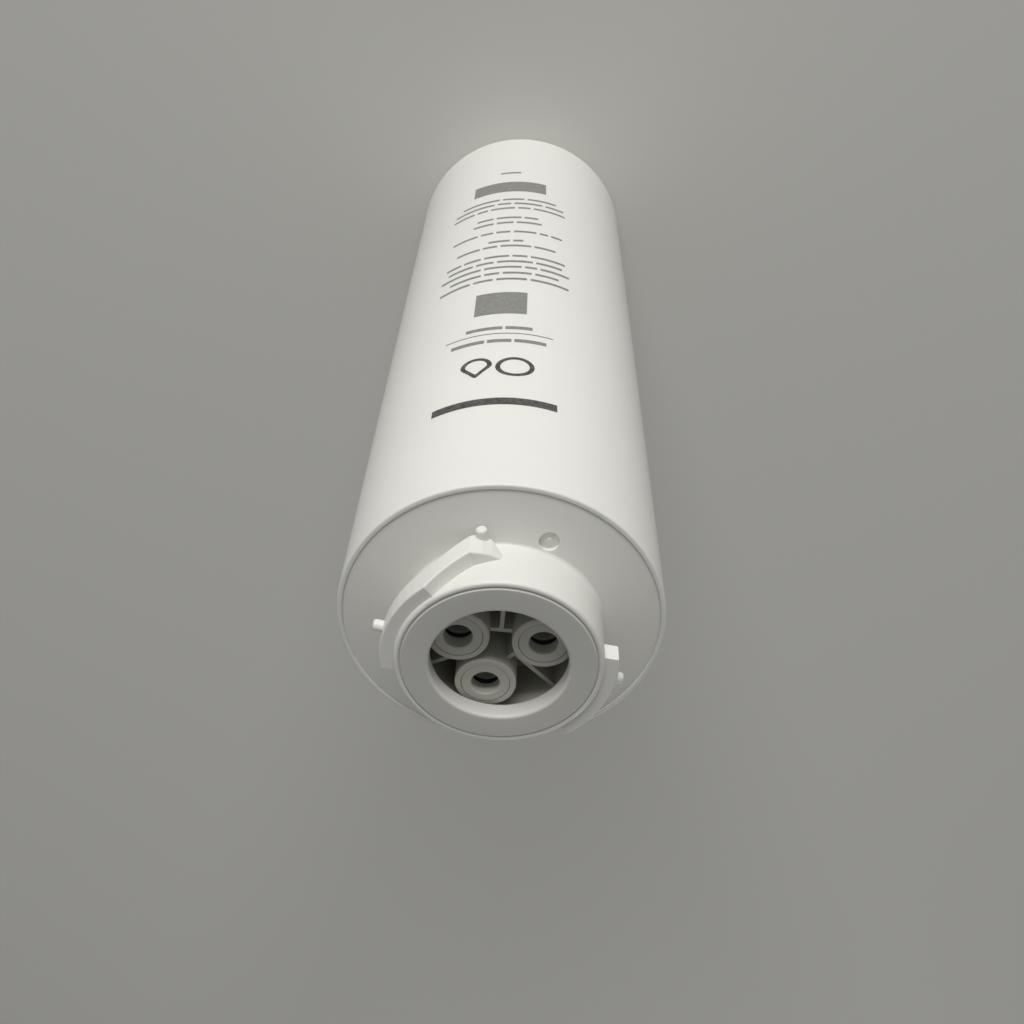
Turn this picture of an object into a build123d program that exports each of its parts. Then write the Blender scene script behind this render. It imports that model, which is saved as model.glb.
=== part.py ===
"""A sealed quick-change reverse osmosis membrane cartridge, standing on its tail.

A long moulded cup is closed by a head cap whose short neck carries two cam lugs. Inside the neck lies
a block with three hose sockets. Below it a plate shares the water out: feed water runs down outside an
inner shell, turns at the tail, comes back up through the wound membrane, and leaves as waste at the
head, while the pure water reaches the head through the tube in the middle.

The origin is the centre of the tail's face, +Z runs along the axis to the head, and the sizes are
millimetres. Angles are degrees from +X towards +Y.
"""

import os
from math import cos, radians, sin

from build123d import *

os.makedirs("parts", exist_ok=True)

# Housing
body_r = 43.0  # outside radius of the cartridge
body_length = 267.0  # tail face to the lip round the head cap
wall = 2.6
foot_w = 9.0  # the ring that the cartridge stands on
foot_h = 1.2  # how far the tail is hollowed inside that ring
tail_wall = 3.2
tail_edge_r = 2.2
lip_t = 1.3  # the thin lip left round the head cap
lip_depth = 4.5
lip_round = 0.6

# Head cap
cap_drop = 0.3  # the cap's edge lies this far below the lip
cap_edge_r = 0.3
cone_rise = 1.9  # lip to the foot of the neck, up the shallow cone
neck_root_r = 0.8
neck_front_r = 0.8
neck_drop = 0.15  # the neck's front lies this far behind the ring's
skirt_t = 2.8
skirt_length = 12.0
gate_r = 2.6  # the round gate recess beside the neck
gate_depth = 0.6
gate_reach = 3.3  # neck wall to the gate's middle
gate_angle = 65.0
gate_pip_r = 0.7
gate_pip_h = 0.4

# Cam lugs, two of them, half a turn apart
lug_reach = 3.6  # neck wall to the lugs' outside
lug_swell = 0.7  # they stand out this much further at the foot of the ramp
lug_front_gap = 1.0  # the lugs' fronts lie this far behind the ring's
lug_end_angle = 5.0  # the square end that meets the filter head's stop
lug_end_lean = 17.0  # how far the end face leans from the radial line
lug_end_t = 5.2  # front to back at the square end
lug_level_arc = 59.5  # square end to ramp
lug_level_steps = 10
lug_level_t = 6.8  # front to back where the ramp starts
lug_ramp_arc = 23.0
lug_ramp_steps = 6
lug_back_delay = 2.5  # the back starts down this many degrees after the front
lug_foot_t = 6.9  # front to back at the foot of the ramp
lug_foot_gap = 0.9  # foot of the neck to the lug's back there
# The end that fades out: degrees past the foot of the ramp, shares of the reach that are left at the back
# and at the front, rise of the back and fall of the front
lug_tail = ((5.5, 0.95, 0.66, -0.5, 0.6), (10.0, 0.6, 0.35, 0.4, 1.2), (15.0, 0.0, 0.0, 3.2, 1.8))
lug_root = 0.8  # how far the lugs run into the neck's wall
lug_edge_r = 0.5
nub_r = 1.5
nub_root = 2.0
nub_rise = 2.6
nub_round = 0.8
nub_level_arc = 21.0  # square end to the upper nub
nub_level_drop = 4.5  # the lugs' fronts to the upper nub's middle
nub_foot_arc = 5.5  # foot of the ramp to the lower nub
nub_foot_lift = 0.5  # the lug's back there to the lower nub's middle

# Mouth ring
mouth_lip = 2.8  # the ring covers this much of the block's well
mouth_edge_r = 0.9
neck_rise = 17.2  # lip to the front of the mouth ring
ring_t = 4.5
ring_wall = 1.5  # the neck's wall round the ring
ring_gap = 0.2
ring_edge = 0.35

# Port block
port_angles = (14.0, 154.0, 250.0)
port_bore_r = 3.7  # takes the filter head's nozzle
port_wall = 1.6  # outside the retainer
port_spacing = 1.1  # between the two ports that lie closest
port_side_gap = 0.9  # ports to the block's wall
port_drop = 0.9  # ring's back face to the ports' faces
port_edge_r = 0.5
socket_depth = 11.0
passage_r = 2.5
block_gap = 0.2
neck_wall = 2.9  # the neck's wall round the block
block_wall = 3.0
block_flange_t = 3.0
block_floor_t = 3.0
web_t = 1.1
web_drop = 3.9  # ports' faces down to the tops of the webs and ribs
web_root = 0.8  # how far webs and ribs run into the walls they join

# Port retainers and seals
retainer_w = 2.6
retainer_t = 3.8
retainer_gap = 0.1
retainer_lead_r = 0.45
retainer_edge = 0.2
seal_h = 2.4
seal_cord_r = 1.1

# Channel plate
channel_h = 4.0
channel_wall = 2.2
centre_wall_r = 7.0
feed_gap_w = 16.0
plate_t = 3.0
plate_gap = 0.3
waste_hole_r = 2.5
waste_hole_pitch_r = 20.0
waste_hole_step = 20.0
tube_socket_wall = 2.6
tube_socket_gap = 1.0  # the tube's socket ends this far short of the spigot
spigot_wall = 3.4
spigot_length = 15.0
spigot_seal_drop = 3.0

# Inner shell, tube, roll and end pieces
annulus = 4.8  # the feed water's way down, housing wall to inner shell
shell_t = 1.6
fit_gap = 0.15
cord_r = 0.9  # section of the O-rings on the plug and the spigot
cord_play = 0.03
cord_side_play = 0.3
tube_r = 8.5
tube_t = 2.4
tube_cord_r = 0.6
tube_hole_r = 1.25
tube_hole_step = 24.0
tube_top_gap = 0.5
tube_seal_pitch = 4.5
roll_gap = 1.5
wrap_t = 0.5
spider_t = 7.0
spider_rim_w = 3.0
spider_hub_w = 3.2
spider_spoke_w = 2.2
spider_spokes = 6
spider_gap = 0.4
brine_depth = 1.6
brine_h = 2.4
brine_lip = 0.5
support_feet_h = 8.0
support_t = 3.0
support_rim_w = 5.0
support_fin_w = 2.6
support_fins = 6
support_upstand = 5.0
support_upstand_t = 1.6
support_hub_r = 11.0
plug_flange_t = 2.5
plug_length = 12.0

# Heights
floor_z = foot_h + tail_wall
lip_z = body_length
cap_seat_z = lip_z - lip_depth
neck_foot_z = lip_z + cone_rise
ring_front_z = lip_z + neck_rise
neck_front_z = ring_front_z - neck_drop
lug_high_z = ring_front_z - lug_front_gap
lug_end_low_z = lug_high_z - lug_end_t
lug_level_low_z = lug_high_z - lug_level_t
lug_foot_low_z = neck_foot_z + lug_foot_gap
lug_foot_high_z = lug_foot_low_z + lug_foot_t
ring_seat_z = ring_front_z - ring_t
port_face_z = ring_seat_z - port_drop
web_top_z = port_face_z - web_drop
seal_top_z = port_face_z - retainer_t
seal_seat_z = seal_top_z - seal_h
socket_stop_z = port_face_z - socket_depth
block_base_z = cap_seat_z - block_flange_t
well_floor_z = block_base_z + block_floor_t
plate_top_z = block_base_z - channel_h
plate_base_z = plate_top_z - plate_t
spigot_end_z = plate_base_z - spigot_length
tube_socket_length = spigot_length - tube_socket_gap
support_base_z = floor_z + support_feet_h
support_top_z = support_base_z + support_t
roll_base_z = support_top_z + spider_t
roll_top_z = spigot_end_z - spider_t
tube_base_z = support_top_z + plug_flange_t
tube_top_z = plate_base_z - tube_top_gap

# The angles halfway between neighbouring ports, with half the angle between the two
port_gaps = []
for first, second in zip(port_angles, port_angles[1:] + (port_angles[0] + 360.0,)):
    port_gaps.append(((first + second) / 2, (second - first) / 2))
closest_half_angle = min(half_angle for _, half_angle in port_gaps)

# Radii, from the nozzles outwards to the neck and its lugs
retainer_r = port_bore_r + retainer_w
counterbore_r = retainer_r + retainer_gap
port_r = counterbore_r + port_wall
port_pitch_r = (port_r + port_spacing / 2) / sin(radians(closest_half_angle))
block_in_r = port_pitch_r + port_r + port_side_gap
block_r = block_in_r + block_wall
mouth_r = block_in_r - mouth_lip
neck_bore_r = block_r + block_gap
neck_r = neck_bore_r + neck_wall
ring_bore_r = neck_r - ring_wall
ring_r = ring_bore_r - ring_gap
lug_r = neck_r + lug_reach
lug_foot_r = lug_r + lug_swell

# Radii, from the drum's wall inwards
body_in_r = body_r - wall
lip_in_r = body_r - lip_t
cap_r = lip_in_r - fit_gap
skirt_r = body_in_r - fit_gap
skirt_in_r = skirt_r - skirt_t
block_flange_r = skirt_in_r - fit_gap
shell_r = body_in_r - annulus
shell_in_r = shell_r - shell_t
spigot_r = shell_in_r - fit_gap
wrap_r = shell_in_r - roll_gap
roll_r = wrap_r - wrap_t
tube_in_r = tube_r - tube_t
tube_socket_r = tube_r + fit_gap
spider_r = shell_in_r - spider_gap


near = 1e-4  # how closely an edge has to match when it is picked by its size and place


def rims(shape, radius, height):
    """The circular edges of one radius at one height."""
    circles = shape.edges().filter_by(GeomType.CIRCLE)
    return [e for e in circles if abs(e.radius - radius) < near and abs(e.arc_center.Z - height) < near]


def radial_plane(angle):
    """The plane through the axis at one angle, with local x outwards and local y up."""
    turn = radians(angle)
    return Plane(origin=(0, 0, 0), x_dir=(cos(turn), sin(turn), 0), z_dir=(sin(turn), -cos(turn), 0))


def groove(radius, height, depth, width):
    """Cuts a groove round an outside wall of the part being built."""
    with BuildSketch(Plane.XZ) as section:
        with Locations((radius, height)):
            Rectangle(2 * depth, width)
    revolve(section.sketch, axis=Axis.Z, mode=Mode.SUBTRACT)


def cord_groove(wall_r, height, cord):
    """Cuts the groove of an O-ring that seals against a bore one fit gap wider than this wall."""
    groove(wall_r, height, 2 * (cord + cord_play) - fit_gap, 2 * (cord + cord_side_play))


def cord_ring(bore_r, height, cord):
    """Turns an O-ring about the axis, just inside the bore that it seals against."""
    with BuildSketch(Plane.XZ) as section:
        with Locations((bore_r - cord_play - cord, height)):
            Circle(cord)
    revolve(section.sketch, axis=Axis.Z)


def write(shape, label):
    """Labels a finished piece and writes its file."""
    shape.label = label
    export_step(shape, f"parts/{label}.step")


# Housing: a deep cup with a foot ring at the tail and a rebated lip that takes the head cap
with BuildPart() as housing:
    with BuildSketch(Plane.XZ):
        with BuildLine():
            Polyline(
                (0, foot_h),
                (body_r - foot_w, foot_h),
                (body_r - foot_w, 0),
                (body_r, 0),
                (body_r, lip_z),
                (lip_in_r, lip_z),
                (lip_in_r, cap_seat_z),
                (body_in_r, cap_seat_z),
                (body_in_r, floor_z),
                (0, floor_z),
                close=True,
            )
        make_face()
    revolve(axis=Axis.Z)
    fillet(rims(housing, body_r, 0), tail_edge_r)
    fillet(rims(housing, body_r, lip_z), lip_round)
write(housing.part, "housing")


def lug_profile(angle, outer, low, high, lean=0, front_outer=None):
    """Sketches a lug's section at one angle, rooted in the neck's wall, with rounded outer corners.

    Where the lug's front reaches out less far than its back, front_outer is the front's radius.
    """
    root_r = neck_r - lug_root
    out = radians(angle - lean)
    root = (root_r * cos(radians(angle)), root_r * sin(radians(angle)), 0)
    across = Plane(origin=root, x_dir=(cos(out), sin(out), 0), z_dir=(sin(out), -cos(out), 0))
    back_w = outer - root_r
    front_w = back_w if front_outer is None else front_outer - root_r
    with BuildSketch(across) as section:
        with BuildLine():
            Polyline((0, low), (back_w, low), (front_w, high), (0, high), close=True)
        make_face()
        fillet(section.vertices().sort_by(Axis.X)[-2:], lug_edge_r)
    return section.sketch


def nub_plane(angle, height):
    """The plane that a nub grows from, square to the radius at one angle."""
    turn = radians(angle)
    middle = Plane(origin=(0, 0, height), z_dir=(cos(turn), sin(turn), 0))
    return middle.offset(lug_r - nub_root)


# Head cap: a shallow cone with a weld skirt below and the neck with its cam lugs above
with BuildPart() as head_cap:
    with BuildSketch(Plane.XZ):
        with BuildLine():
            Polyline(
                (neck_bore_r, cap_seat_z),
                (neck_bore_r, ring_seat_z),
                (ring_bore_r, ring_seat_z),
                (ring_bore_r, neck_front_z),
                (neck_r, neck_front_z),
                (neck_r, neck_foot_z),
                (cap_r, lip_z - cap_drop),
                (cap_r, cap_seat_z),
                (skirt_r, cap_seat_z),
                (skirt_r, cap_seat_z - skirt_length),
                (skirt_in_r, cap_seat_z - skirt_length),
                (skirt_in_r, cap_seat_z),
                close=True,
            )
        make_face()
    revolve(axis=Axis.Z)
    fillet(rims(head_cap, neck_r, neck_front_z), neck_front_r)
    fillet(rims(head_cap, neck_r, neck_foot_z), neck_root_r)
    fillet(rims(head_cap, cap_r, lip_z - cap_drop), cap_edge_r)
    chamfer(rims(head_cap, ring_bore_r, neck_front_z), ring_edge)
    for half_turn in (0, 180):
        end_angle = lug_end_angle + half_turn
        ramp_angle = end_angle - lug_level_arc
        foot_angle = ramp_angle - lug_ramp_arc
        # From the square end to the top of the ramp
        level = [lug_profile(end_angle, lug_r, lug_end_low_z, lug_high_z, lug_end_lean)]
        for step in range(1, lug_level_steps + 1):
            share = step / lug_level_steps
            low_z = lug_end_low_z + (lug_level_low_z - lug_end_low_z) * share
            level.append(lug_profile(end_angle - lug_level_arc * share, lug_r, low_z, lug_high_z))
        loft(level, ruled=True)
        # Down the ramp to its foot
        ramp = [level[-1]]
        for step in range(1, lug_ramp_steps + 1):
            share = step / lug_ramp_steps
            down = lug_ramp_arc * share
            back_share = max(0, down - lug_back_delay) / (lug_ramp_arc - lug_back_delay)
            low_z = lug_level_low_z + (lug_foot_low_z - lug_level_low_z) * back_share
            high_z = lug_high_z + (lug_foot_high_z - lug_high_z) * share
            ramp.append(lug_profile(ramp_angle - down, lug_r + lug_swell * share, low_z, high_z))
        loft(ramp, ruled=True)
        # The end that fades into the neck
        tail = [ramp[-1]]
        for past, back_share, front_share, rise, fall in lug_tail:
            outer = neck_r + (lug_foot_r - neck_r) * back_share
            front_outer = neck_r + (lug_foot_r - neck_r) * front_share
            low_z = lug_foot_low_z + rise
            high_z = lug_foot_high_z - fall
            tail.append(lug_profile(foot_angle - past, outer, low_z, high_z, front_outer=front_outer))
        loft(tail, ruled=True)
        # Nubs on the outside of the lug
        for nub_angle, nub_z in (
            (end_angle - nub_level_arc, lug_high_z - nub_level_drop),
            (foot_angle - nub_foot_arc, lug_foot_low_z + nub_foot_lift),
        ):
            foot = nub_plane(nub_angle, nub_z)
            with BuildSketch(foot):
                Circle(nub_r)
            extrude(amount=nub_root + nub_rise)
            tip = head_cap.faces(Select.LAST).sort_by(Axis(foot.origin, foot.z_dir))[-1]
            fillet(tip.edges(), nub_round)
    # Gate recess in the cone, with the pip that the gate leaves
    with BuildSketch(Plane.XY.offset(lip_z + cone_rise)):
        with PolarLocations(neck_r + gate_reach, 1, start_angle=gate_angle):
            Circle(gate_r)
    extrude(amount=-(cone_rise - gate_depth), mode=Mode.SUBTRACT)
    with BuildSketch(Plane.XY.offset(lip_z + gate_depth)):
        with PolarLocations(neck_r + gate_reach, 1, start_angle=gate_angle):
            Circle(gate_pip_r)
    extrude(amount=gate_pip_h)
write(head_cap.part, "head_cap")


# Mouth ring: pressed into the front of the neck, it traps the port block
with BuildPart() as mouth_ring:
    with BuildSketch(Plane.XY.offset(ring_seat_z)):
        Circle(ring_r)
        Circle(mouth_r, mode=Mode.SUBTRACT)
    extrude(amount=ring_t)
    fillet(rims(mouth_ring, mouth_r, ring_front_z), mouth_edge_r)
    chamfer(rims(mouth_ring, ring_r, ring_front_z), ring_edge)
write(mouth_ring.part, "mouth_ring")


# Port block: a flanged cup with three sockets, joined by webs and ribs, and water channels below
with BuildPart() as port_block:
    with BuildSketch(Plane.XZ):
        with BuildLine():
            Polyline(
                (0, block_base_z),
                (block_flange_r, block_base_z),
                (block_flange_r, cap_seat_z),
                (block_r, cap_seat_z),
                (block_r, ring_seat_z),
                (block_in_r, ring_seat_z),
                (block_in_r, well_floor_z),
                (0, well_floor_z),
                close=True,
            )
        make_face()
    revolve(axis=Axis.Z)
    for angle in port_angles:
        with BuildSketch(Plane.XY.offset(well_floor_z)):
            with PolarLocations(port_pitch_r, 1, start_angle=angle):
                Circle(port_r)
        extrude(amount=port_face_z - well_floor_z)
    fillet(port_block.faces().filter_by_position(Axis.Z, port_face_z, port_face_z).edges(), port_edge_r)
    # Webs between the sockets, and a rib from each out to the wall
    with BuildSketch(Plane.XY.offset(well_floor_z)):
        for middle_angle, half_angle in port_gaps:
            web_pitch_r = port_pitch_r * cos(radians(half_angle))
            web_length = 2 * (port_pitch_r * sin(radians(half_angle)) - port_r + web_root)
            rib_length = block_in_r + web_root - web_pitch_r
            with PolarLocations(web_pitch_r, 1, start_angle=middle_angle):
                Rectangle(web_t, web_length)
            with PolarLocations(web_pitch_r + rib_length / 2, 1, start_angle=middle_angle):
                Rectangle(rib_length, web_t)
    extrude(amount=web_top_z - well_floor_z)
    # Sockets: a counterbore for retainer and seal, a bore with a stop, and a passage through the floor
    for angle in port_angles:
        with BuildSketch(Plane.XY.offset(port_face_z)):
            with PolarLocations(port_pitch_r, 1, start_angle=angle):
                Circle(counterbore_r)
        extrude(amount=seal_seat_z - port_face_z, mode=Mode.SUBTRACT)
        with BuildSketch(Plane.XY.offset(port_face_z)):
            with PolarLocations(port_pitch_r, 1, start_angle=angle):
                Circle(port_bore_r)
        extrude(amount=socket_stop_z - port_face_z, mode=Mode.SUBTRACT)
        with BuildSketch(Plane.XY.offset(port_face_z)):
            with PolarLocations(port_pitch_r, 1, start_angle=angle):
                Circle(passage_r)
        extrude(amount=block_base_z - port_face_z, mode=Mode.SUBTRACT)
    # Channel walls: a dam between neighbouring ports, one round the centre and one round the outside
    with BuildSketch(Plane.XY.offset(block_base_z)):
        Circle(block_flange_r)
        Circle(block_flange_r - channel_wall, mode=Mode.SUBTRACT)
        Circle(centre_wall_r + channel_wall)
        Circle(centre_wall_r, mode=Mode.SUBTRACT)
        dam_length = block_flange_r - centre_wall_r - channel_wall
        dam_middle_r = (block_flange_r + centre_wall_r) / 2
        for middle_angle, half_angle in port_gaps:
            with PolarLocations(dam_middle_r, 1, start_angle=middle_angle):
                Rectangle(dam_length, channel_wall)
        # The pure water's way in to the centre, and the feed water's way out past the edge
        with PolarLocations(centre_wall_r + channel_wall / 2, 1, start_angle=port_angles[0]):
            Rectangle(2 * channel_wall, centre_wall_r, mode=Mode.SUBTRACT)
        with PolarLocations(block_flange_r, 1, start_angle=port_angles[1]):
            Rectangle(4 * channel_wall, feed_gap_w, mode=Mode.SUBTRACT)
    extrude(amount=-channel_h)
write(port_block.part, "port_block")


# Retainers and seals: a ring pressed into each socket holds an O-ring below it
for number, angle in enumerate(port_angles, start=1):
    turn = radians(angle)
    port_x, port_y = port_pitch_r * cos(turn), port_pitch_r * sin(turn)
    with BuildPart() as port_retainer:
        with BuildSketch(Plane.XY.offset(seal_top_z)):
            with Locations((port_x, port_y)):
                Circle(retainer_r)
                Circle(port_bore_r, mode=Mode.SUBTRACT)
        extrude(amount=retainer_t)
        fillet(rims(port_retainer, port_bore_r, port_face_z), retainer_lead_r)
        chamfer(rims(port_retainer, retainer_r, port_face_z), retainer_edge)
    write(port_retainer.part, f"port_retainer_{number}")
    with BuildPart() as port_seal:
        cord_x = port_x + port_bore_r + cord_play + seal_cord_r
        with BuildSketch(Plane.XZ.offset(-port_y)):
            with Locations((cord_x, (seal_seat_z + seal_top_z) / 2)):
                Circle(seal_cord_r)
        revolve(axis=Axis((port_x, port_y, 0), (0, 0, 1)))
    write(port_seal.part, f"port_seal_{number}")


# Channel plate: closes the channels and carries the tube's socket and the inner shell's spigot
with BuildPart() as channel_plate:
    with BuildSketch(Plane.XY.offset(plate_base_z)):
        Circle(shell_r)
    extrude(amount=plate_t)
    with BuildSketch(Plane.XY.offset(plate_base_z)):
        Circle(spigot_r)
        Circle(spigot_r - spigot_wall, mode=Mode.SUBTRACT)
    extrude(amount=-spigot_length)
    with BuildSketch(Plane.XY.offset(plate_base_z)):
        Circle(tube_socket_r + tube_socket_wall)
    extrude(amount=-tube_socket_length)
    with BuildSketch(Plane.XY.offset(plate_base_z)):
        Circle(tube_socket_r)
    extrude(amount=-tube_socket_length, mode=Mode.SUBTRACT)
    with BuildSketch(Plane.XY.offset(plate_base_z)):
        Circle(tube_in_r)
        for step in (-1, 0, 1):
            with PolarLocations(waste_hole_pitch_r, 1, start_angle=port_angles[2] + step * waste_hole_step):
                Circle(waste_hole_r)
    extrude(amount=plate_t, mode=Mode.SUBTRACT)
    cord_groove(spigot_r, plate_base_z - spigot_seal_drop, cord_r)
write(channel_plate.part, "channel_plate")


# O-ring between the plate's spigot and the inner shell
with BuildPart() as shell_seal:
    cord_ring(shell_in_r, plate_base_z - spigot_seal_drop, cord_r)
write(shell_seal.part, "shell_seal")


# Inner shell: a plain tube that keeps the feed water off the roll until it reaches the tail
with BuildPart() as inner_shell:
    with BuildSketch(Plane.XY.offset(support_top_z)):
        Circle(shell_r)
        Circle(shell_in_r, mode=Mode.SUBTRACT)
    extrude(amount=plate_base_z - support_top_z)
write(inner_shell.part, "inner_shell")


# Permeate tube: the roll is wound on it, and two rows of holes let the pure water in
with BuildPart() as permeate_tube:
    with BuildSketch(Plane.XY.offset(tube_base_z)):
        Circle(tube_r)
        Circle(tube_in_r, mode=Mode.SUBTRACT)
    extrude(amount=tube_top_z - tube_base_z)
    for number in (1, 2):
        cord_groove(tube_r, tube_top_z - number * tube_seal_pitch, tube_cord_r)
    hole_rows = int((roll_top_z - roll_base_z - 2 * tube_hole_step) // tube_hole_step)
    hole_middle_z = (roll_base_z + roll_top_z) / 2
    for plane in (Plane.XZ, Plane.YZ):
        with BuildSketch(plane):
            with Locations((0, hole_middle_z)):
                with GridLocations(tube_hole_step, tube_hole_step, 1, hole_rows):
                    Circle(tube_hole_r)
        extrude(amount=tube_r, both=True, mode=Mode.SUBTRACT)
write(permeate_tube.part, "permeate_tube")


# O-rings that seal the tube in the plate's socket
for number in (1, 2):
    with BuildPart() as tube_seal:
        cord_ring(tube_socket_r, tube_top_z - number * tube_seal_pitch, tube_cord_r)
    write(tube_seal.part, f"tube_seal_{number}")


# Plug that closes the tube at the tail, with its O-ring
with BuildPart() as tube_plug:
    with BuildSketch(Plane.XY.offset(support_top_z)):
        Circle(tube_r)
    extrude(amount=plug_flange_t)
    with BuildSketch(Plane.XY.offset(tube_base_z)):
        Circle(tube_in_r - fit_gap)
    extrude(amount=plug_length)
    cord_groove(tube_in_r - fit_gap, tube_base_z + plug_length / 2, cord_r)
write(tube_plug.part, "tube_plug")

with BuildPart() as plug_seal:
    cord_ring(tube_in_r, tube_base_z + plug_length / 2, cord_r)
write(plug_seal.part, "plug_seal")


# Membrane roll: the wound leaves of membrane, spacer and carrier, with the tape wound round them
with BuildPart() as membrane_roll:
    with BuildSketch(Plane.XY.offset(roll_base_z)):
        Circle(roll_r - fit_gap)
        Circle(tube_r + fit_gap, mode=Mode.SUBTRACT)
    extrude(amount=roll_top_z - roll_base_z)
write(membrane_roll.part, "membrane_roll")

with BuildPart() as roll_wrap:
    with BuildSketch(Plane.XY.offset(roll_base_z)):
        Circle(wrap_r)
        Circle(roll_r, mode=Mode.SUBTRACT)
    extrude(amount=roll_top_z - roll_base_z)
write(roll_wrap.part, "roll_wrap")


def spider(base_z):
    """Builds an end piece that holds the roll's end flat: a rim and a hub joined by spokes."""
    hub_in_r = tube_r + fit_gap
    spoke_start_r = hub_in_r + spider_hub_w / 2
    spoke_end_r = spider_r - spider_rim_w / 2
    with BuildSketch(Plane.XY.offset(base_z)) as outline:
        Circle(spider_r)
        Circle(spider_r - spider_rim_w, mode=Mode.SUBTRACT)
        Circle(hub_in_r + spider_hub_w)
        with PolarLocations((spoke_start_r + spoke_end_r) / 2, spider_spokes):
            Rectangle(spoke_end_r - spoke_start_r, spider_spoke_w)
        Circle(hub_in_r, mode=Mode.SUBTRACT)
    extrude(outline.sketch, amount=spider_t)


# End pieces: the one at the head is clear of the tube's socket, the one at the tail carries the lip seal
with BuildPart() as head_spider:
    spider(roll_top_z)
write(head_spider.part, "head_spider")

with BuildPart() as tail_spider:
    spider(support_top_z)
    groove(spider_r, support_top_z + spider_t / 2, brine_depth, brine_h + 2 * fit_gap)
write(tail_spider.part, "tail_spider")


# Brine seal: a lip ring that keeps the feed water from slipping past the roll
with BuildPart() as brine_seal:
    seal_z = support_top_z + spider_t / 2
    seal_in_r = spider_r - brine_depth + fit_gap
    half_h = brine_h / 2
    with BuildSketch(Plane.XZ):
        with BuildLine():
            Polyline(
                (seal_in_r, seal_z - half_h),
                (shell_in_r - fit_gap, seal_z - half_h),
                (shell_in_r - fit_gap, seal_z - half_h + brine_lip),
                (spider_r - brine_lip, seal_z + half_h),
                (seal_in_r, seal_z + half_h),
                close=True,
            )
        make_face()
    revolve(axis=Axis.Z)
write(brine_seal.part, "brine_seal")


# Tail support: fins that stand on the housing's floor, under a rim and a hub, inside an upstand
with BuildPart() as tail_support:
    rim_in_r = shell_r - support_rim_w
    upstand_in_r = shell_r + fit_gap
    upstand_r = upstand_in_r + support_upstand_t
    with BuildSketch(Plane.XY.offset(support_base_z)):
        Circle(upstand_r)
        Circle(rim_in_r, mode=Mode.SUBTRACT)
        Circle(support_hub_r)
    extrude(amount=support_t)
    with BuildSketch(Plane.XY.offset(support_top_z)):
        Circle(upstand_r)
        Circle(upstand_in_r, mode=Mode.SUBTRACT)
    extrude(amount=support_upstand)
    fin_r = body_in_r - plate_gap
    with BuildSketch(Plane.XY.offset(floor_z)):
        with PolarLocations(fin_r / 2, support_fins):
            Rectangle(fin_r, support_fin_w)
    extrude(amount=support_feet_h + support_t)
write(tail_support.part, "tail_support")
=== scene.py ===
"""Looks of a sealed reverse osmosis membrane cartridge, which stands on its tail with its ports up.

The pieces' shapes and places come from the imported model. Here each gets its finish, and the drum its
print. Sizes are in metres unless a name or comment says millimetres.
"""

from math import ceil, cos, radians, sin

import bmesh
import bpy
from mathutils import Matrix, Vector


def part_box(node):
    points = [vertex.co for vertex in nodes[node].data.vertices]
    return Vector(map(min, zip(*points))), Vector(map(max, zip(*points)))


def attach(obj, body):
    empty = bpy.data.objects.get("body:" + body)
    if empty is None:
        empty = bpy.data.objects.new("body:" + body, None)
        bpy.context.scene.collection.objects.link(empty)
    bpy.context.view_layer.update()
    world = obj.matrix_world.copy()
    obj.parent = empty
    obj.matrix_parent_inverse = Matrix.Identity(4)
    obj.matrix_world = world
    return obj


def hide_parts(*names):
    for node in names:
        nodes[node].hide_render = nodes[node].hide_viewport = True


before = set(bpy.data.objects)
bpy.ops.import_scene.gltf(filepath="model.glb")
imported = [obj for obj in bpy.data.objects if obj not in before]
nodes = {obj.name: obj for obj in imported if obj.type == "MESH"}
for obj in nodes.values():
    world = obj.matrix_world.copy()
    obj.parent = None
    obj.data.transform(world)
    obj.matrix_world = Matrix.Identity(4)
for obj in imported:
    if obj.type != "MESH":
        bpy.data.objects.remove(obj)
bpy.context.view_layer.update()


# Camera
# Stands where the photograph was taken: over the head, a little to the print's side, with the tail up
# in the picture. Its place is counted from the middle of the drum's rim, in drum radii.
drum_low, drum_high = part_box("housing")
drum_r = (drum_high.x - drum_low.x) / 2
lip_z = drum_high.z
camera_from_rim = Vector((0.29046, 4.59669, 5.39553))
camera_right = Vector((0.99950, -0.01822, -0.02598))
camera_up = Vector((0.0, 0.81870, -0.57422))
camera_sensor_mm = 36
camera_lens_mm = 40.9
camera_nearest = 0.01  # what is nearer to the lens doesn't show

camera_data = bpy.data.cameras.new("photo_camera")
camera_data.sensor_width = camera_sensor_mm
camera_data.lens = camera_lens_mm
camera_data.clip_start = camera_nearest
camera = bpy.data.objects.new("photo_camera", camera_data)
camera_back = camera_right.cross(camera_up)
camera_turn = Matrix((camera_right, camera_up, camera_back)).transposed().to_4x4()
camera_place = Vector((0, 0, lip_z)) + drum_r * camera_from_rim
camera.matrix_world = Matrix.Translation(camera_place) @ camera_turn
bpy.context.scene.collection.objects.link(camera)
bpy.context.scene.camera = camera
bpy.context.scene.view_settings.view_transform = "Standard"


# Housing
# The drum is one deep moulding of white polypropylene. The mould's wall was polished along its length,
# so the plastic has a soft satin gloss, the faintest ripple and fine lines where it slid off the core.
mm = 0.001
drum_wall = 2.6 * mm
tail_wall = 3.2 * mm
tail_edge_r = 2.2 * mm
tail_edge_steps = 8
foot_w = 9.0 * mm
foot_h = 1.2 * mm
lip_t = 1.3 * mm
lip_depth = 4.5 * mm
lip_round = 0.6 * mm
lip_round_steps = 6
drum_steps = 256
crease_angle = 34  # degrees between faces from which an edge is a true one
merge_gap = 0.0005 * mm  # corners nearer than this are one
drum_white = "#EBEAE5"
drum_shade = "#E4E3DD"
plastic_ior = 1.49
glow_share = 0.3  # of the light, what goes into the milky plastic and wanders there
glow_mm = 1.2  # about how far it wanders
glow_of_colours = (1.0, 0.9, 0.75)  # red, green and blue, as shares of that
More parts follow.
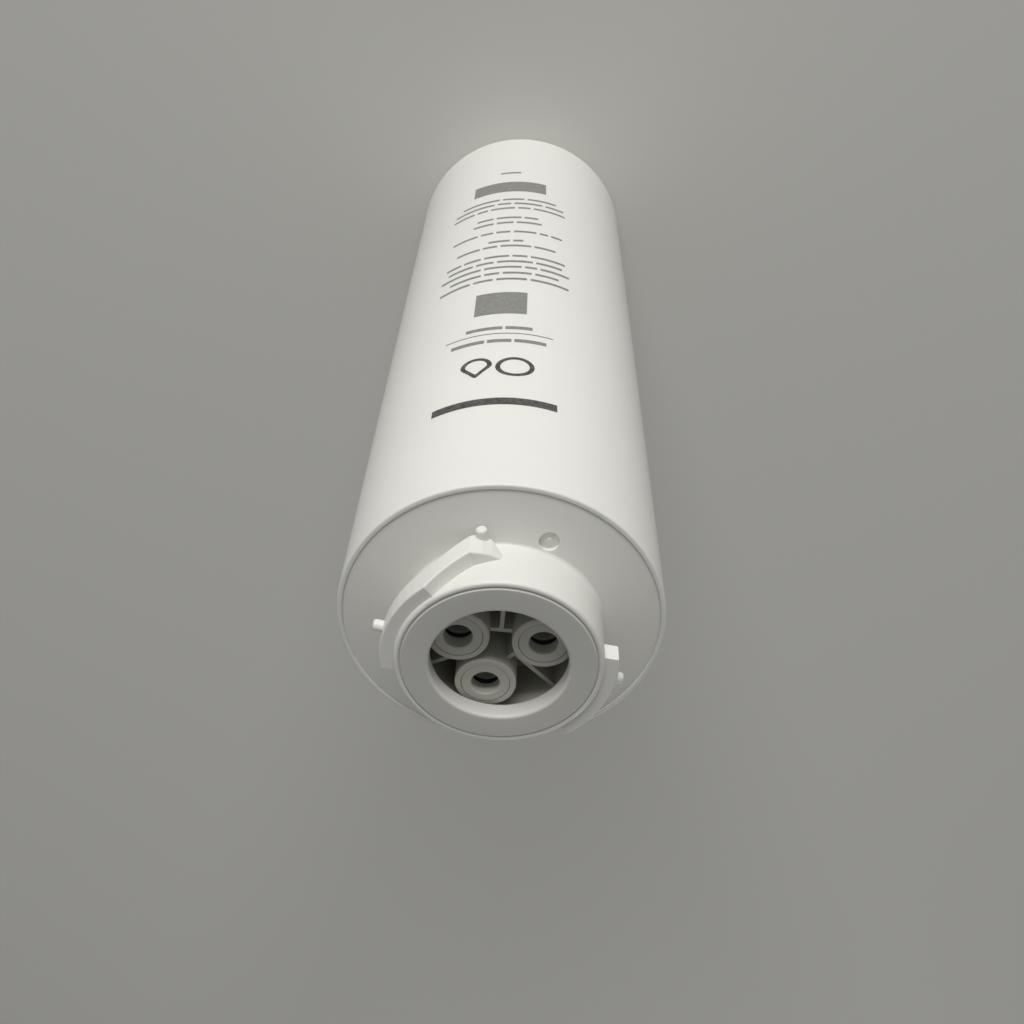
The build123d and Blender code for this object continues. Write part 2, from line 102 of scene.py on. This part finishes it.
cloud_mm = 60
ripple_mm = 2.5
draw_line_mm = 0.9
draw_stretch = 0.02  # the lines are fifty times as long as they are apart
draw_depth = 0.15  # of the ripple's depth
gloss_swing = 0.05  # the lines are this much rougher or smoother than the rest


def linear(colour):
    """The linear red, green and blue of an sRGB hex value, with alpha 1."""
    shares = [int(colour[i:i + 2], 16) / 255 for i in (1, 3, 5)]
    return [s / 12.92 if s <= 0.04045 else ((s + 0.055) / 1.055) ** 2.4 for s in shares] + [1.0]


def add_node(tree, kind, links=None, **settings):
    """Adds a node with its links. A setting is a property of the node or else the value of an input.

    An input's name has _ for each space.
    """
    node = tree.nodes.new(kind)
    for name, value in settings.items():
        if hasattr(node, name):
            setattr(node, name, value)
        else:
            node.inputs[name.replace("_", " ")].default_value = value
    for name, source in (links or {}).items():
        tree.links.new(source, node.inputs[name])
    return node


def blank_material(name):
    """A node material with its tree, its surface shader and its Object coordinates."""
    material = bpy.data.materials.new(name)
    material.use_nodes = True
    tree = material.node_tree
    shader = tree.nodes["Principled BSDF"]
    place = add_node(tree, "ShaderNodeTexCoord").outputs["Object"]
    return material, tree, shader, place


def moulded_plastic(name, light, shade, roughness, ripple_depth):
    """Moulded plastic: cloudy by a hair, with a rippled skin and draw lines along the mould's opening."""
    material, tree, shader, place = blank_material(name)
    shader.inputs["IOR"].default_value = plastic_ior
    shader.inputs["Subsurface Weight"].default_value = glow_share
    shader.inputs["Subsurface Radius"].default_value = glow_of_colours
    shader.inputs["Subsurface Scale"].default_value = glow_mm * mm
    cloud = add_node(tree, "ShaderNodeTexNoise", {"Vector": place}, Scale=1 / (cloud_mm * mm), Detail=3.0)
    tint = add_node(tree, "ShaderNodeMix", {"Factor": cloud.outputs["Fac"]}, data_type="RGBA")
    tint.inputs["A"].default_value = linear(shade)
    tint.inputs["B"].default_value = linear(light)
    tree.links.new(tint.outputs["Result"], shader.inputs["Base Color"])
    stretched = add_node(tree, "ShaderNodeMapping", {"Vector": place}, Scale=(1, 1, draw_stretch))
    lines = add_node(
        tree, "ShaderNodeTexNoise", {"Vector": stretched.outputs["Vector"]},
        Scale=1 / (draw_line_mm * mm), Detail=2.0,
    )
    gloss = add_node(
        tree, "ShaderNodeMapRange", {"Value": lines.outputs["Fac"]},
        To_Min=roughness - gloss_swing, To_Max=roughness + gloss_swing,
    )
    tree.links.new(gloss.outputs["Result"], shader.inputs["Roughness"])
    ripple = add_node(
        tree, "ShaderNodeTexNoise", {"Vector": place}, Scale=1 / (ripple_mm * mm), Detail=1.0
    )
    skin = add_node(
        tree, "ShaderNodeBump", {"Height": ripple.outputs["Fac"]}, Strength=1.0, Distance=ripple_depth
    )
    drawn = add_node(
        tree, "ShaderNodeBump", {"Height": lines.outputs["Fac"], "Normal": skin.outputs["Normal"]},
        Strength=1.0, Distance=draw_depth * ripple_depth,
    )
    tree.links.new(drawn.outputs["Normal"], shader.inputs["Normal"])
    return material


def add_piece(bm, name, material):
    """Makes a piece of the body from a finished bmesh, smooth up to its true edges."""
    mesh = bpy.data.meshes.new(name)
    bm.to_mesh(mesh)
    bm.free()
    mesh.shade_smooth()
    mesh.set_sharp_from_angle(angle=radians(crease_angle))
    mesh.materials.append(material)
    piece = bpy.data.objects.new(name, mesh)
    bpy.context.scene.collection.objects.link(piece)
    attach(piece, "root")
    return piece


def arc(centre, radius, start, end, steps):
    """Points of a profile's rounded corner, as radius and height, from one angle to another in degrees."""
    turns = [radians(start + (end - start) * i / steps) for i in range(steps + 1)]
    return [(centre[0] + radius * cos(turn), centre[1] + radius * sin(turn)) for turn in turns]


def lathe(name, profile, steps, material, closed=True):
    """Spins a profile of radius and height pairs into a piece. One that isn't closed ends on the axis."""
    bm = bmesh.new()
    verts = [bm.verts.new((radius, 0, height)) for radius, height in profile]
    following = verts[1:] + verts[:1] if closed else verts[1:]
    for first, second in zip(verts, following):
        bm.edges.new((first, second))
    bmesh.ops.spin(
        bm, geom=list(bm.verts) + list(bm.edges), cent=(0, 0, 0), axis=(0, 0, 1), angle=radians(360),
        steps=steps, use_merge=True,
    )
    bmesh.ops.remove_doubles(bm, verts=bm.verts, dist=merge_gap)
    bmesh.ops.recalc_face_normals(bm, faces=bm.faces)
    return add_piece(bm, name, material)


drum_plastic = moulded_plastic(
    "polypropylene_drum_satin", light=drum_white, shade=drum_shade, roughness=0.36, ripple_depth=0.012 * mm
)
drum_in_r = drum_r - drum_wall
lip_in_r = drum_r - lip_t
foot_in_r = drum_r - foot_w
drum = lathe("drum", (
    [(0, foot_h), (foot_in_r, foot_h), (foot_in_r, 0)]
    + arc((drum_r - tail_edge_r, tail_edge_r), tail_edge_r, -90, 0, tail_edge_steps)
    + arc((drum_r - lip_round, lip_z - lip_round), lip_round, 0, 90, lip_round_steps)
    + [(lip_in_r, lip_z), (lip_in_r, lip_z - lip_depth), (drum_in_r, lip_z - lip_depth)]
    + [(drum_in_r, foot_h + tail_wall), (0, foot_h + tail_wall)]
), drum_steps, drum_plastic, closed=False)
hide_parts("housing")


# Print
# One pass of grey pad print on the side that faces the camera: rows of plain strokes, two plain fields and
# the outlines of a circle and a drop. The ink lies a hair above the plastic and hides the gloss.
print_angle = 93.3  # degrees from +X towards +Y, the middle of every row
ink_t = 0.04 * mm  # how far the print stands out of the drum
ink_root = 0.06 * mm  # how far its solid runs into the drum's wall
stroke_step = 1.0 * mm  # a stroke bends round the drum in steps of this
ink_dark = "#3A3A37"
ink_fine = "#7F7F7A"  # small strokes take less ink from the pad
ink_patch_mm = 1.2
ink_weak_above = 0.35  # the noise's value above which the pad pressed less
ink_weakest = 0.18  # how much of the drum's white shows where it pressed least
ink_roughness = 0.55
large_line = 1.4 * mm
small_tall = 1.5 * mm
small_gap = 1.2 * mm
title_gap = 0.9 * mm
small_rows = (  # each row's height above the lip and its strokes' widths, in millimetres
    (-120.4, (13, 10, 6.5, 11)),
    (-125.2, (8, 9.5, 5, 11)),
    (-130.0, (10, 4, 12.5, 14.5)),
    (-134.6, (9, 12, 6, 9)),
    (-139.2, (12, 5, 8.5, 6, 5.5)),
    (-148.2, (7.5, 10.5, 5, 8.5)),
    (-152.6, (3.5, 7.5)),
    (-161.0, (4, 3, 8, 5, 4.5, 9.5)),
    (-169.8, (9, 6, 7.5)),
    (-174.6, (5, 9, 6)),
    (-184.2, (12, 4.5, 9, 4, 8.5)),
    (-188.8, (7, 10.5, 5, 15.5)),
    (-193.2, (11, 8, 14.5)),
    (-222.8, (8,)),
)


def ink(name, colour):
    """Pad printing ink: matt, a little uneven where the pad pressed less."""
    material, tree, shader, place = blank_material(name)
    patchy = add_node(
        tree, "ShaderNodeTexNoise", {"Vector": place}, Scale=1 / (ink_patch_mm * mm), Detail=2.0
    )
    weak = add_node(
        tree, "ShaderNodeMapRange", {"Value": patchy.outputs["Fac"]},
        From_Min=ink_weak_above, To_Max=ink_weakest,
    )
    tint = add_node(tree, "ShaderNodeMix", {"Factor": weak.outputs["Result"]}, data_type="RGBA")
    tint.inputs["A"].default_value = linear(colour)
    tint.inputs["B"].default_value = linear(drum_white)
    tree.links.new(tint.outputs["Result"], shader.inputs["Base Color"])
    shader.inputs["Roughness"].default_value = ink_roughness
    return material


def stroke(bm, across, height, width, tall):
    """Adds a flat field to a print. It lies across from the row's middle and up from the drum's lip."""
    steps = max(2, ceil(width / stroke_step))
    field = bmesh.ops.create_grid(bm, x_segments=steps, y_segments=1, size=0.5)["verts"]
    bmesh.ops.scale(bm, vec=(width, tall, 1), verts=field)
    bmesh.ops.translate(bm, vec=(across, height, 0), verts=field)


def stroke_row(bm, height, tall, gap, widths_mm):
    """Adds a centred row of strokes."""
    whole = sum(widths_mm) * mm + gap * (len(widths_mm) - 1)
    start = -whole / 2
    for width_mm in widths_mm:
        width = width_mm * mm
        stroke(bm, start + width / 2, height, width, tall)
        start += width + gap


def outline(bm, across, height, radius, line, point=0.0, corners=48):
    """Adds a closed outline: a circle or, with a point, a water drop that points up."""
    rings = []
    for reach in (radius, radius - line):
        ring = bmesh.ops.create_circle(bm, cap_ends=False, segments=corners, radius=reach)["verts"]
        for vert in ring:
            upward = max(0.0, vert.co.y / reach)
            vert.co.x *= 1 - point * upward ** 2
            vert.co.y += reach * point * upward ** 4
        bmesh.ops.translate(bm, vec=(across, height, 0), verts=ring)
        rings += list({edge for vert in ring for edge in vert.link_edges})
    bmesh.ops.bridge_loops(bm, edges=rings)


def wrap_on_drum(bm, name, material):
    """Bends a flat print round the drum, gives it its thickness and puts it on the body."""
    for vert in bm.verts:
        angle = radians(print_angle) + vert.co.x / drum_r
        out = Vector((cos(angle), sin(angle), 0))
        vert.co = (drum_r + ink_t) * out + Vector((0, 0, lip_z + vert.co.y))
    bm.normal_update()
    inward = [face for face in bm.faces if face.normal.dot(face.calc_center_median().xy.to_3d()) < 0]
    bmesh.ops.reverse_faces(bm, faces=inward)
    bmesh.ops.solidify(bm, geom=list(bm.faces), thickness=ink_t + ink_root)
    add_piece(bm, name, material)


bm = bmesh.new()
stroke(bm, across=0, height=-40.4 * mm, width=35 * mm, tall=3.6 * mm)
outline(bm, across=-5.4 * mm, height=-60.1 * mm, radius=5.6 * mm, line=large_line)
outline(bm, across=5.8 * mm, height=-61.6 * mm, radius=4.6 * mm, line=large_line, point=0.5)
stroke(bm, across=0, height=-80.9 * mm, width=33 * mm, tall=0.4 * mm)
wrap_on_drum(bm, "print_large", ink("pad_print_ink_dark", ink_dark))

bm = bmesh.new()
stroke_row(bm, height=-76.2 * mm, tall=2.0 * mm, gap=title_gap, widths_mm=(9.5, 7.2, 10.2))
stroke_row(bm, height=-84.6 * mm, tall=1.9 * mm, gap=title_gap, widths_mm=(8.2, 11.2))
stroke(bm, across=0, height=-102.2 * mm, width=16.4 * mm, tall=15.6 * mm)
stroke(bm, across=0, height=-207.0 * mm, width=28 * mm, tall=10.6 * mm)
for height_mm, widths_mm in small_rows:
    stroke_row(bm, height_mm * mm, small_tall, small_gap, widths_mm)
wrap_on_drum(bm, "print_fine", ink("pad_print_ink_fine", ink_fine))


# Head cap
# The same polypropylene, moulded in a second tool whose end faces were left a little duller, and spin
# welded into the drum's lip. The weld leaves a fine bead in the seam.
cap_seam_gap = 0.12 * mm
cap_seam_depth = 0.42 * mm  # below the lip's top
bead_r = 0.17 * mm
bead_section_steps = 8
bead_steps = 180


def finish_node(node, material):
    """Gives a CAD node its material."""
    mesh = nodes[node].data
    mesh.materials.clear()
    mesh.materials.append(material)


def weld_bead(name, radius, height, material):
    """Spins the bead of melted plastic that fills a seam round the axis."""
    section = arc((radius, height), bead_r, 0, 360, bead_section_steps)[:-1]
    lathe(name, section, bead_steps, material)


cap_plastic = moulded_plastic(
    "polypropylene_cap_satin", light="#E8E7E1", shade="#E2E1DA", roughness=0.42, ripple_depth=0.01 * mm
)
finish_node("head_cap", cap_plastic)
weld_bead("cap_weld_bead", drum_r - lip_t - cap_seam_gap / 2, lip_z - cap_seam_depth, cap_plastic)


# Mouth ring
# Polypropylene again, welded into the neck's front to trap the port block. Its face is finely matt and its
# inner edge is rounded. Its colour is darker than the drum's: painted shade for a face turned from the
# light.
ring_low, ring_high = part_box("mouth_ring")
ring_r = ring_high.x
ring_edge = 0.35 * mm
ring_steps = 192
ring_seam_gap = 0.2 * mm
ring_seam_depth = 0.55 * mm  # below the ring's face
mouth_r = 17.605 * mm
mouth_edge_r = 0.9 * mm
mouth_edge_steps = 8

# Its colours are darker than the drum's as painted shade on the face that turns from the light.
ring_plastic_painted_shade = moulded_plastic(
    "polypropylene_ring_painted_shade", light="#D2D1CA", shade="#CBCAC3", roughness=0.48, ripple_depth=0.008 * mm
)
mouth_edge = (mouth_r + mouth_edge_r, ring_high.z - mouth_edge_r)
ring = lathe("mouth_ring_turned", (
    [(mouth_r, ring_low.z), (ring_r, ring_low.z)]
    + [(ring_r, ring_high.z - ring_edge), (ring_r - ring_edge, ring_high.z)]
    + arc(mouth_edge, mouth_edge_r, 90, 180, mouth_edge_steps)
), ring_steps, ring_plastic_painted_shade)
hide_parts("mouth_ring")
weld_bead("ring_weld_bead", ring_r + ring_seam_gap / 2, ring_high.z - ring_seam_depth, ring_plastic_painted_shade)


# Port block and retainers
# Polypropylene from spark-finished tools that leave it matt. Its grey, darker than the drum's, is painted
# shade for the faces deep in the mouth. Each retainer is snapped into its socket over the seal.
# The darker greys are painted shade for the mouth's dim well.
block_plastic_painted_shade = moulded_plastic(
    "polypropylene_block_painted_shade", light="#C2C1B8", shade="#BAB9AF", roughness=0.5, ripple_depth=0.006 * mm
)
for node in ("port_block", "port_retainer_1", "port_retainer_2", "port_retainer_3"):
    finish_node(node, block_plastic_painted_shade)


# Seals
# Rings and lips moulded from EPDM rubber and pushed into their grooves. They are near black, with the
# dull bloom and the fine grain that the mould and the grease leave.
bloom_mm = 4
grain_mm = 0.25
grain_depth = 0.02 * mm
grain_strength = 0.6


def moulded_rubber(name, dark, bloom, roughness):
    """Black moulded rubber with a grey bloom in soft patches and a grained skin."""
    material, tree, shader, place = blank_material(name)
    patches = add_node(tree, "ShaderNodeTexNoise", {"Vector": place}, Scale=1 / (bloom_mm * mm), Detail=4.0)
    tint = add_node(tree, "ShaderNodeMix", {"Factor": patches.outputs["Fac"]}, data_type="RGBA")
    tint.inputs["A"].default_value = linear(dark)
    tint.inputs["B"].default_value = linear(bloom)
    tree.links.new(tint.outputs["Result"], shader.inputs["Base Color"])
    grain = add_node(tree, "ShaderNodeTexNoise", {"Vector": place}, Scale=1 / (grain_mm * mm), Detail=2.0)
    skin = add_node(
        tree, "ShaderNodeBump", {"Height": grain.outputs["Fac"]},
        Strength=grain_strength, Distance=grain_depth,
    )
    tree.links.new(skin.outputs["Normal"], shader.inputs["Normal"])
    shader.inputs["Roughness"].default_value = roughness
    return material


seal_rubber = moulded_rubber("epdm_seal_black", dark="#141413", bloom="#262624", roughness=0.55)
for node in (
    "port_seal_1", "port_seal_2", "port_seal_3", "shell_seal", "tube_seal_1", "tube_seal_2", "plug_seal",
    "brine_seal",
):
    finish_node(node, seal_rubber)


# Channel plate, inner shell and end pieces
# Unpigmented polypropylene mouldings that nobody sees, pushed together on their spigots: cloudier than
# the drum, with a duller and more rippled skin, because their moulds were never polished.
inner_plastic = moulded_plastic(
    "polypropylene_inner_matt", light="#DCDBD2", shade="#CFCEC4", roughness=0.55, ripple_depth=0.015 * mm
)
for node in ("channel_plate", "inner_shell", "head_spider", "tail_spider", "tube_plug", "tail_support"):
    finish_node(node, inner_plastic)


# Permeate tube
# Extruded ABS, cut to length and drilled in rows. It is a warmer and glossier white than the mouldings,
# with the die's fine lines along it.
tube_plastic = moulded_plastic(
    "abs_tube_extruded", light="#E6E3D8", shade="#DDDACE", roughness=0.32, ripple_depth=0.008 * mm
)
finish_node("permeate_tube", tube_plastic)


# Membrane roll
# Leaves of polyamide membrane, feed net and knitted carrier, glued on three sides and wound round the tube.
# From the ends it shows as one tight spiral, drawn coarser than the real 0.9 mm leaf so that it can be seen.
leaf_mm = 1.6
leaf_pale = "#D9D4C4"
leaf_net = "#8E8A7C"
leaf_roughness = 0.7
net_half = 0.08  # half of the net's dark line, as a share of a leaf
net_half_faded = 0.2  # the same with its soft edge
net_strength = 0.8
net_depth = 0.1 * mm


def turns_round_axis(tree, parts):
    """How many turns round the Z axis a point lies from +X, as a node output, from its separated place."""
    angle = add_node(
        tree, "ShaderNodeMath", {0: parts.outputs["Y"], 1: parts.outputs["X"]}, operation="ARCTAN2"
    )
    turns = add_node(tree, "ShaderNodeMath", {0: angle.outputs[0]}, operation="DIVIDE")
    turns.inputs[1].default_value = radians(360)
    return turns.outputs[0]


def wound_membrane(name):
    """Spiral leaves round the axis: pale membrane with the darker edge of the net between."""
    material, tree, shader, place = blank_material(name)
    parts = add_node(tree, "ShaderNodeSeparateXYZ", {"Vector": place})
    flat = add_node(tree, "ShaderNodeCombineXYZ", {"X": parts.outputs["X"], "Y": parts.outputs["Y"]})
    radius = add_node(tree, "ShaderNodeVectorMath", {0: flat.outputs["Vector"]}, operation="LENGTH")
    leaves = add_node(tree, "ShaderNodeMath", {0: radius.outputs["Value"]}, operation="DIVIDE")
    leaves.inputs[1].default_value = leaf_mm * mm
    turns = turns_round_axis(tree, parts)
    spiral = add_node(tree, "ShaderNodeMath", {0: leaves.outputs[0], 1: turns}, operation="SUBTRACT")
    across = add_node(tree, "ShaderNodeMath", {0: spiral.outputs[0]}, operation="FRACT")
    wave = add_node(tree, "ShaderNodeMath", {0: across.outputs[0]}, operation="PINGPONG")
    wave.inputs[1].default_value = 0.5
    net = add_node(
        tree, "ShaderNodeMapRange", {"Value": wave.outputs[0]}, From_Min=net_half, From_Max=net_half_faded
    )
    tint = add_node(tree, "ShaderNodeMix", {"Factor": net.outputs["Result"]}, data_type="RGBA")
    tint.inputs["A"].default_value = linear(leaf_net)
    tint.inputs["B"].default_value = linear(leaf_pale)
    tree.links.new(tint.outputs["Result"], shader.inputs["Base Color"])
    edge = add_node(
        tree, "ShaderNodeBump", {"Height": net.outputs["Result"]}, Strength=net_strength, Distance=net_depth
    )
    tree.links.new(edge.outputs["Normal"], shader.inputs["Normal"])
    shader.inputs["Roughness"].default_value = leaf_roughness
    return material


finish_node("membrane_roll", wound_membrane("polyamide_membrane_wound"))


# Roll wrap
# Clear polyester tape wound round the roll in a helix and held by its own glue. Each turn laps the last,
# so the laps show as fine lines in its gloss.
tape_mm = 48
tape_lap = 0.15  # of the tape's width, where it lies on the turn before
tape_lap_grey = "#B9C0C4"
tape_grey = "#CBD0D2"
tape_step = 0.05 * mm
tape_roughness = 0.18


def wound_tape(name):
    """Glossy tape with the fine step of each lap, one tape's width apart."""
    material, tree, shader, place = blank_material(name)
    parts = add_node(tree, "ShaderNodeSeparateXYZ", {"Vector": place})
    laps = add_node(tree, "ShaderNodeMath", {0: parts.outputs["Z"]}, operation="DIVIDE")
    laps.inputs[1].default_value = tape_mm * mm
    turns = turns_round_axis(tree, parts)
    helix = add_node(tree, "ShaderNodeMath", {0: laps.outputs[0], 1: turns}, operation="ADD")
    across = add_node(tree, "ShaderNodeMath", {0: helix.outputs[0]}, operation="FRACT")
    step = add_node(tree, "ShaderNodeMapRange", {"Value": across.outputs[0]}, From_Max=tape_lap)
    tint = add_node(tree, "ShaderNodeMix", {"Factor": step.outputs["Result"]}, data_type="RGBA")
    tint.inputs["A"].default_value = linear(tape_lap_grey)
    tint.inputs["B"].default_value = linear(tape_grey)
    tree.links.new(tint.outputs["Result"], shader.inputs["Base Color"])
    lap = add_node(
        tree, "ShaderNodeBump", {"Height": step.outputs["Result"]}, Strength=1.0, Distance=tape_step
    )
    tree.links.new(lap.outputs["Normal"], shader.inputs["Normal"])
    shader.inputs["Roughness"].default_value = tape_roughness
    return material


finish_node("roll_wrap", wound_tape("polyester_tape_glossy"))


# Stage
# A wide floor in matt grey-white paint, under a dim even sky. A large softbox stands on the print's side
# and a weak one behind, both with grids, which keep their light off the floor in front of them.
floor_size = 14.0
floor_grey = "#D4D3CD"
floor_roughness = 0.7
sky_white = "#F4F4F4"
sky_strength = 0.26
softbox_spread = 70  # degrees

bm = bmesh.new()
bmesh.ops.create_grid(bm, x_segments=1, y_segments=1, size=floor_size / 2)
floor_mesh = bpy.data.meshes.new("floor")
bm.to_mesh(floor_mesh)
bm.free()
floor = bpy.data.objects.new("floor", floor_mesh)
bpy.context.scene.collection.objects.link(floor)
floor_paint, _, floor_shader, _ = blank_material("floor_matt_paint")
floor_shader.inputs["Base Color"].default_value = linear(floor_grey)
floor_shader.inputs["Roughness"].default_value = floor_roughness
floor_mesh.materials.append(floor_paint)

world = bpy.data.worlds.new("studio")
bpy.context.scene.world = world
world.use_nodes = True
sky = world.node_tree.nodes["Background"]
sky.inputs["Color"].default_value = linear(sky_white)
sky.inputs["Strength"].default_value = sky_strength


def softbox(name, place, width, height, energy):
    """A rectangular softbox that faces the middle of the cartridge."""
    data = bpy.data.lights.new(name, "AREA")
    data.shape = "RECTANGLE"
    data.size = width
    data.size_y = height
    data.energy = energy
    data.spread = radians(softbox_spread)
    light = bpy.data.objects.new(name, data)
    light.location = place
    light.rotation_euler = (Vector((0, 0, lip_z / 2)) - light.location).to_track_quat("-Z", "Y").to_euler()
    bpy.context.scene.collection.objects.link(light)


softbox("key_softbox", place=(0.0, 2.3, 0.68), width=1.7, height=0.8, energy=8.5)
softbox("fill_softbox", place=(0.3, -2.2, 0.3), width=1.4, height=0.5, energy=1.5)
